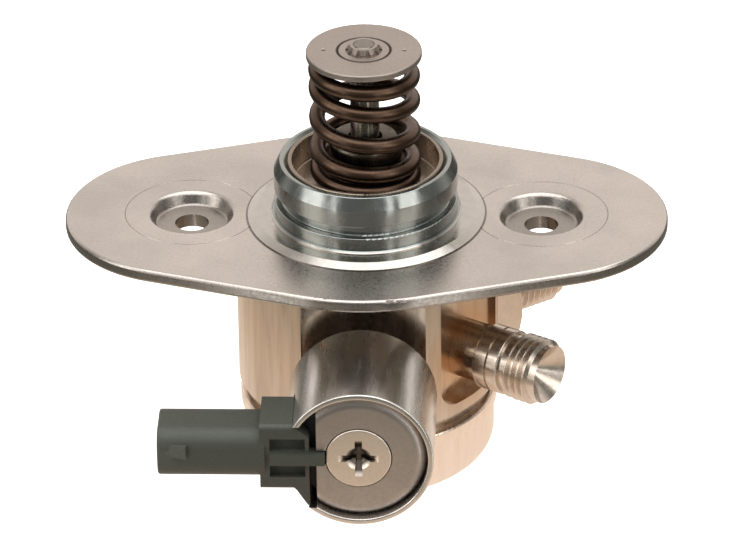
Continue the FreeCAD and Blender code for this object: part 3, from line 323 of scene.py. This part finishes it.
def showPiece(mesh, name, node):
    mesh.materials.clear()
    mesh.materials.append(finishes[nodeSlots[node]])
    piece = bpy.data.objects.new(name, mesh)
    bpy.context.scene.collection.objects.link(piece)
    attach(piece, nodeBodies[node])
    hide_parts(node)
    return piece


def smoothed(bm, name, sharpAngle):
    # A mesh with soft shading up to sharpAngle and its flat faces kept flat.
    for edge in bm.edges:
        edge.smooth = edge.is_manifold and edge.calc_face_angle(math.pi) < math.radians(sharpAngle)
    for face in bm.faces:
        face.smooth = True
    mesh = bpy.data.meshes.new(name)
    bm.to_mesh(mesh)
    bm.free()
    carrier = bpy.data.objects.new(name + "Draft", mesh)
    bpy.context.scene.collection.objects.link(carrier)
    weighted = carrier.modifiers.new("evenShading", "WEIGHTED_NORMAL")
    weighted.keep_sharp = True
    weighted.weight = 80
    result = evaluatedMesh(carrier, name)
    bpy.data.objects.remove(carrier)
    bpy.data.meshes.remove(mesh)
    return result


def joinedCopy(node, reshape=None):
    bm = bmesh.new()
    bm.from_mesh(nodes[node].data)
    bmesh.ops.remove_doubles(bm, verts=bm.verts, dist=2e-6)
    if reshape:
        for vert in bm.verts:
            vert.co = reshape(vert.co)
    bmesh.ops.dissolve_degenerate(bm, dist=1e-7, edges=bm.edges)
    return bm


softAngle = 28
bodyAngle = 18  # keeps the shallow cone round the collar crisp
wireAngle = 50
ridgeAngle = 30


def dress(node, sharpAngle=softAngle, reshape=None):
    mesh = smoothed(joinedCopy(node, reshape), node + "Dressed", sharpAngle)
    return showPiece(mesh, node + "_dressed", node)


dress("pump_body", bodyAngle)
for node in ("mounting_flange", "spring_retainer", "plunger", "seal_carrier", "damper_cap", "solenoid_cover",
             "end_plate", "cover_screw", "connector_housing", "connector_terminals", "inlet_valve_seat"):
    dress(node)
print("outer pieces dressed")


# Springs and threads follow a helix, made by one tree of geometry nodes

wireSides = 22
smallestEnd = 0.04


def buildCoilTree():
    tree = bpy.data.node_groups.new("coilSweep", "GeometryNodeTree")
    sockets = [("Turns", "NodeSocketFloat"), ("Coil Radius", "NodeSocketFloat"), ("Rise", "NodeSocketFloat"),
               ("Steps", "NodeSocketInt"), ("Section Base", "NodeSocketFloat"), ("Section Crest", "NodeSocketFloat"),
               ("Section Height", "NodeSocketFloat"), ("Wire Radius", "NodeSocketFloat"), ("Round", "NodeSocketBool"),
               ("Run Out", "NodeSocketFloat"), ("Material", "NodeSocketMaterial")]
    for label, kind in sockets:
        tree.interface.new_socket(name=label, in_out="INPUT", socket_type=kind)
    tree.interface.new_socket(name="Geometry", in_out="OUTPUT", socket_type="NodeSocketGeometry")
    entry = tree.nodes.new("NodeGroupInput")
    leave = tree.nodes.new("NodeGroupOutput")
    link = tree.links.new

    def maths(operation, first, second=None, clamp=False):
        node = tree.nodes.new("ShaderNodeMath")
        node.operation = operation
        node.use_clamp = clamp
        for place, value in enumerate((first, second)):
            if isinstance(value, bpy.types.NodeSocket):
                link(value, node.inputs[place])
            elif value is not None:
                node.inputs[place].default_value = value
        return node.outputs[0]

    spiral = tree.nodes.new("GeometryNodeCurveSpiral")
    link(entry.outputs["Steps"], spiral.inputs["Resolution"])
    link(entry.outputs["Turns"], spiral.inputs["Rotations"])
    link(entry.outputs["Coil Radius"], spiral.inputs["Start Radius"])
    link(entry.outputs["Coil Radius"], spiral.inputs["End Radius"])
    spiral.inputs["Height"].default_value = 0

    along = tree.nodes.new("GeometryNodeSplineParameter").outputs["Factor"]
    rise = tree.nodes.new("ShaderNodeFloatCurve")
    rise.label = "riseAlongTurns"
    link(along, rise.inputs["Value"])
    upward = tree.nodes.new("ShaderNodeCombineXYZ")
    link(maths("MULTIPLY", rise.outputs[0], entry.outputs["Rise"]), upward.inputs["Z"])
    lifted = tree.nodes.new("GeometryNodeSetPosition")
    link(spiral.outputs[0], lifted.inputs["Geometry"])
    link(upward.outputs[0], lifted.inputs["Offset"])
    upright = tree.nodes.new("GeometryNodeSetCurveNormal")
    upright.mode = "Z_UP"
    link(lifted.outputs[0], upright.inputs["Curve"])

    wire = tree.nodes.new("GeometryNodeCurvePrimitiveCircle")
    wire.inputs["Resolution"].default_value = wireSides
    link(entry.outputs["Wire Radius"], wire.inputs["Radius"])
    ridge = tree.nodes.new("GeometryNodeCurvePrimitiveQuadrilateral")
    ridge.mode = "POINTS"
    half = maths("MULTIPLY", entry.outputs["Section Base"], 0.5)
    crest = maths("MULTIPLY", entry.outputs["Section Crest"], 0.5)
    outward = maths("MULTIPLY", entry.outputs["Section Height"], -1)
    for label, across, out in (("Point 1", maths("MULTIPLY", half, -1), 0.0), ("Point 2", half, 0.0),
                               ("Point 3", crest, outward), ("Point 4", maths("MULTIPLY", crest, -1), outward)):
        corner = tree.nodes.new("ShaderNodeCombineXYZ")
        link(across, corner.inputs["Y"])
        if isinstance(out, bpy.types.NodeSocket):
            link(out, corner.inputs["X"])
        link(corner.outputs[0], ridge.inputs[label])
    section = tree.nodes.new("GeometryNodeSwitch")
    section.input_type = "GEOMETRY"
    link(entry.outputs["Round"], section.inputs["Switch"])
    link(ridge.outputs[0], section.inputs["False"])
    link(wire.outputs[0], section.inputs["True"])

    turnsIn = maths("MULTIPLY", along, entry.outputs["Turns"])
    turnsLeft = maths("SUBTRACT", entry.outputs["Turns"], turnsIn)
    nearest = maths("MINIMUM", turnsIn, turnsLeft)
    fade = maths("DIVIDE", nearest, entry.outputs["Run Out"], clamp=True)
    size = maths("MAXIMUM", fade, smallestEnd)
    sweep = tree.nodes.new("GeometryNodeCurveToMesh")
    link(upright.outputs[0], sweep.inputs["Curve"])
    link(section.outputs[0], sweep.inputs["Profile Curve"])
    link(size, sweep.inputs["Scale"])
    sweep.inputs["Fill Caps"].default_value = True
    realize = tree.nodes.new("GeometryNodeRealizeInstances")
    link(sweep.outputs[0], realize.inputs[0])
    paint = tree.nodes.new("GeometryNodeSetMaterial")
    link(realize.outputs[0], paint.inputs["Geometry"])
    link(entry.outputs["Material"], paint.inputs["Material"])
    link(paint.outputs[0], leave.inputs[0])
    return tree


def coilMesh(name, values, risePoints, placement, material, sharpAngle):
    # risePoints gives the share of the rise at each share of the turns.
    tree = buildCoilTree()
    tree.name = name
    mapping = [node for node in tree.nodes if node.label == "riseAlongTurns"][0].mapping
    curve = mapping.curves[0]
    for place, (x, y) in enumerate(risePoints):
        if 0 < place < len(risePoints) - 1:
            curve.points.new(x, y)
        else:
            curve.points[0 if place == 0 else -1].location = (x, y)
    mapping.update()
    base = bpy.data.objects.new(name + "Base", bpy.data.meshes.new(name + "Base"))
    bpy.context.scene.collection.objects.link(base)
    modifier = base.modifiers.new("coil", "NODES")
    modifier.node_group = tree
    keys = {item.name: item.identifier for item in tree.interface.items_tree if item.in_out == "INPUT"}
    for label, value in values.items():
        modifier[keys[label]] = value
    modifier[keys["Material"]] = material
    base.data.update()
    bm = bmesh.new()
    bm.from_mesh(evaluatedMesh(base, name))
    bpy.data.objects.remove(base)
    bmesh.ops.remove_doubles(bm, verts=bm.verts, dist=1e-7)
    bmesh.ops.transform(bm, matrix=placement, verts=bm.verts)
    bmesh.ops.recalc_face_normals(bm, faces=bm.faces)
    return smoothed(bm, name, sharpAngle)


# heights are those of the wire's middle, at each count of turns from the foot. Lengths in mm.
plungerSpring = {
    "coilRadius": 9.75, "wireRadius": 1.65, "seat": 7.43, "top": 36.27, "turns": 4.86, "startAngle": 18,
    "heights": [(0, 9.08), (0.9, 12.23), (1.15, 13.32), (1.4, 14.74), (3.46, 28.95), (3.71, 30.38), (3.96, 31.47),
                (4.86, 34.62)],
    "stroke": 5.5, "steps": 110, "bluntEnd": 0.0001,
}


def makePlungerSpring(size):
    low = size["heights"][0][1]
    rise = size["heights"][-1][1] - low
    points = [(turn / size["turns"], (height - low) / rise) for turn, height in size["heights"]]
    placement = (Matrix.Translation((0, 0, low * mm))
                 @ Matrix.Rotation(math.radians(size["startAngle"]), 4, "Z"))
    values = {"Turns": size["turns"], "Coil Radius": size["coilRadius"] * mm, "Rise": rise * mm, "Steps": size["steps"],
              "Wire Radius": size["wireRadius"] * mm, "Round": True, "Run Out": size["bluntEnd"]}
    mesh = coilMesh("plungerSpringWire", values, points, placement, finishes["spring_steel"], wireAngle)
    spring = showPiece(mesh, "plunger_spring_wire", "plunger_spring")
    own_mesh(spring)


makePlungerSpring(plungerSpring)
print("plunger spring made")


# The springs inside, with the valve that each of them presses on; each is dressed as it stands. travel is in mm.

innerSprings = [
    {"node": "armature_spring", "joint": "armature_stroke", "axis": (0, -1, 0), "travel": 0.5},
    {"node": "inlet_valve_spring", "joint": "inlet_valve_lift", "axis": (0, -1, 0), "travel": 0.4},
    {"node": "outlet_valve_spring", "joint": "outlet_ball_lift", "axis": (0.8480481, -0.5299193, 0), "travel": 0.6},
    {"node": "relief_valve_spring", "joint": "relief_ball_lift", "axis": (0, 0, -1), "travel": 0.3},
]


def makeInnerSpring(size):
    spring = dress(size["node"], wireAngle)
    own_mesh(spring)


for size in innerSprings:
    makeInnerSpring(size)
print("inner springs made")


# Fittings with their real threads

def outwardPlace(bearing, height):
    return (Matrix.Translation((0, 0, height * mm)) @ Matrix.Rotation(math.radians(bearing), 4, "Z")
            @ Matrix.Rotation(math.radians(90), 4, "X"))


threadShape = {"base": 0.93, "crest": 0.16, "sunk": 0.02, "proud": 0.01, "startGap": 0.1, "endGaps": 0.5,
               "runOut": 0.4, "steps": 96}
outletFitting = {"node": "outlet_fitting", "bearing": 58.0, "height": -24.4, "radius": 7.0, "pitch": 1.5,
                 "start": 36.3, "end": 44.7, "minor": 6.08}
inletFitting = {"node": "inlet_fitting", "bearing": 125.6, "height": -28.5, "radius": 6.0, "pitch": 1.5,
                "start": 33.6, "end": 46.2, "minor": 5.08}


def makeThreadedFitting(size):
    place = outwardPlace(size["bearing"], size["height"])
    back = place.inverted()
    minor = size["minor"] * mm
    pitch = size["pitch"] * mm
    near = 0.01 * mm

    def toThreadRoot(point):
        # The plain outside of the thread goes down to its root.
        local = back @ point
        out = math.hypot(local.x, local.y)
        if local.z > size["start"] * mm - near and out > minor + near:
            local.x *= minor / out
            local.y *= minor / out
        return place @ local

    dress(size["node"], reshape=toThreadRoot)
    shape = threadShape
    depth = size["radius"] - size["minor"] + shape["proud"]
    endRoom = 0.9 * size["pitch"]
    turns = (size["end"] - size["start"] - shape["endGaps"] - endRoom) / size["pitch"]
    values = {"Turns": turns, "Coil Radius": (size["minor"] - shape["sunk"]) * mm, "Rise": turns * pitch,
              "Steps": shape["steps"], "Section Base": pitch * shape["base"],
              "Section Crest": pitch * shape["crest"], "Section Height": depth * mm, "Round": False,
              "Run Out": shape["runOut"]}
    lift = Matrix.Translation((0, 0, (size["start"] + shape["startGap"] + endRoom / 2) * mm))
    mesh = coilMesh(size["node"] + "Thread", values, [(0, 0), (1, 1)], place @ lift, finishes["fitting_steel"],
                    ridgeAngle)
    showPiece(mesh, size["node"] + "_thread", size["node"])


makeThreadedFitting(outletFitting)
makeThreadedFitting(inletFitting)
print("threads cut")


# Floor, light and camera

def byRay(tree, reflected, direct):
    # reflected is what the metal shows of it, and direct is what the camera sees straight on.
    path = tree.nodes.new("ShaderNodeLightPath")
    mix = tree.nodes.new("ShaderNodeMixShader")
    tree.links.new(path.outputs["Is Camera Ray"], mix.inputs[0])
    tree.links.new(reflected, mix.inputs[1])
    tree.links.new(direct, mix.inputs[2])
    return mix.outputs[0]


floorSize = {"height": -0.0545, "reach": 3.0, "darkFrom": 0.25}


def floorMaterial():
    # White paper, evenly bright to the camera. For reflected rays it is a painted reflection instead: a glow that is
    # bright and warm near the pump and dark where the tent is open.
    material = bpy.data.materials.new("paperFloor")
    material.use_nodes = True
    tree = material.node_tree
    shader = tree.nodes["Principled BSDF"]
    shader.inputs["Base Color"].default_value = (0.9, 0.9, 0.9, 1)
    shader.inputs["Roughness"].default_value = 0.85
    shader.inputs["Specular IOR Level"].default_value = 0.1
    shader.inputs["Emission Color"].default_value = (1, 1, 1, 1)
    shader.inputs["Emission Strength"].default_value = 0.72
    reach = axisDistance(tree, tree.nodes.new("ShaderNodeTexCoord"))
    ramp = tree.nodes.new("ShaderNodeValToRGB")
    tree.links.new(mapRange(tree, reach, 0, floorSize["darkFrom"], 0, 1), ramp.inputs["Fac"])
    stops = [(0.12, (1.0, 0.86, 0.74)), (0.20, (1.0, 0.84, 0.71)), (0.32, (0.84, 0.67, 0.52)),
             (0.42, (0.60, 0.51, 0.41)), (0.52, (0.25, 0.245, 0.205)), (1.0, (0.10, 0.10, 0.09))]
    elements = ramp.color_ramp.elements
    for count, (position, colour) in enumerate(stops):
        element = elements[count] if count < 2 else elements.new(position)
        element.position = position
        element.color = (*colour, 1)
    glow = tree.nodes.new("ShaderNodeEmission")
    tree.links.new(ramp.outputs["Color"], glow.inputs["Color"])
    leave = tree.nodes["Material Output"]
    tree.links.new(byRay(tree, glow.outputs[0], shader.outputs[0]), leave.inputs["Surface"])
    return material


def makeFloor(size):
    mesh = bpy.data.meshes.new("paperFloor")
    bm = bmesh.new()
    bmesh.ops.create_grid(bm, x_segments=4, y_segments=4, size=size["reach"])
    bmesh.ops.translate(bm, verts=bm.verts, vec=(0, 0, size["height"]))
    bm.to_mesh(mesh)
    bm.free()
    mesh.materials.append(floorMaterial())
    floor = bpy.data.objects.new("paper_floor", mesh)
    bpy.context.scene.collection.objects.link(floor)


makeFloor(floorSize)


def aimedLight(name, place, target, size, power, colour=(1, 1, 1)):
    lamp = bpy.data.lights.new(name, "AREA")
    lamp.shape = "RECTANGLE"
    lamp.size, lamp.size_y = size
    lamp.energy = power
    lamp.color = colour
    obj = bpy.data.objects.new(name, lamp)
    bpy.context.scene.collection.objects.link(obj)
    obj.location = place
    aim = Vector(target) - Vector(place)
    obj.rotation_euler = aim.to_track_quat("-Z", "Y").to_euler()


warmBox = (1, 0.97, 0.93)
warmStrip = (1, 0.98, 0.96)
collarMiddle = (0, 0, 0.006)
aimedLight("topBox", (0.05, -0.1, 0.9), (0, 0, 0), (1.3, 1.1), 9)
aimedLight("leftBox", (-0.8, -0.35, 0.45), (0, 0, 0), (0.5, 0.7), 2.5, warmBox)
aimedLight("rightBox", (0.75, -0.5, 0.35), (0, 0, -0.02), (0.4, 0.6), 1.6, warmBox)
# Two pairs of narrow lamps in front show as upright bars in the collar, straight and by way of the flange.
for near, far in (((-0.0585, -0.0835, -0.033), (-0.193, -0.252, 0.12)),
                  ((0.0508, -0.0889, -0.033), (0.166, -0.271, 0.12))):
    aimedLight("floorStrip", near, collarMiddle, (0.012, 0.042), 0.0035, warmStrip)
    aimedLight("frontStrip", far, collarMiddle, (0.035, 0.34), 0.08, warmStrip)

world = bpy.data.worlds.new("studio")
bpy.context.scene.world = world
world.use_nodes = True
worldTree = world.node_tree
backdrop = worldTree.nodes["Background"]
skyPlace = worldTree.nodes.new("ShaderNodeTexCoord")
split = worldTree.nodes.new("ShaderNodeSeparateXYZ")
worldTree.links.new(skyPlace.outputs["Generated"], split.inputs[0])
openFront = mapRange(worldTree, split.outputs["Y"], 0.15, 0.65, 0, 1)
tent = mixColour(worldTree, openFront, (0.20, 0.20, 0.185), (1.08, 1.0, 0.94))
overhead = mapRange(worldTree, split.outputs["Z"], 0.55, 0.95, 0, 1)
worldTree.links.new(mixColour(worldTree, overhead, tent, (0.45, 0.42, 0.38)), backdrop.inputs["Color"])
plain = worldTree.nodes.new("ShaderNodeBackground")
plain.inputs["Color"].default_value = (1, 1, 1, 1)
worldTree.links.new(byRay(worldTree, backdrop.outputs[0], plain.outputs[0]),
                    worldTree.nodes["World Output"].inputs["Surface"])

# Where the photo was taken from. distance is in mm, originPixel is the middle of the flange's face.
view = {"pitch": 29.5, "azimuth": 2.5, "roll": -0.9, "distance": 1200.0, "pixelsPerMm": 4.86,
        "originPixel": (366.3, 212.8), "pictureSize": (732, 549)}


def makeCamera(view):
    pitch, azimuth, roll = (math.radians(view[key]) for key in ("pitch", "azimuth", "roll"))
    back = Vector((math.sin(azimuth) * math.cos(pitch), -math.cos(azimuth) * math.cos(pitch), math.sin(pitch)))
    level = Vector((math.cos(azimuth), math.sin(azimuth), 0))
    upright = back.cross(level)
    right = level * math.cos(roll) + upright * math.sin(roll)
    up = upright * math.cos(roll) - level * math.sin(roll)
    width, height = view["pictureSize"]
    scale = view["pixelsPerMm"]
    eye = (back * view["distance"] - up * ((height / 2 - view["originPixel"][1]) / scale)
           - right * ((view["originPixel"][0] - width / 2) / scale))
    data = bpy.data.cameras.new("photoView")
    data.sensor_width = 36
    data.lens = scale * view["distance"] * 36 / width
    data.clip_end = 20
    camera = bpy.data.objects.new("photoView", data)
    bpy.context.scene.collection.objects.link(camera)
    turn = Matrix((right, up, back)).transposed().to_4x4()
    camera.matrix_world = Matrix.Translation(eye * mm) @ turn
    bpy.context.scene.camera = camera


makeCamera(view)
bpy.context.scene.view_settings.view_transform = "Standard"
print("camera and light set")
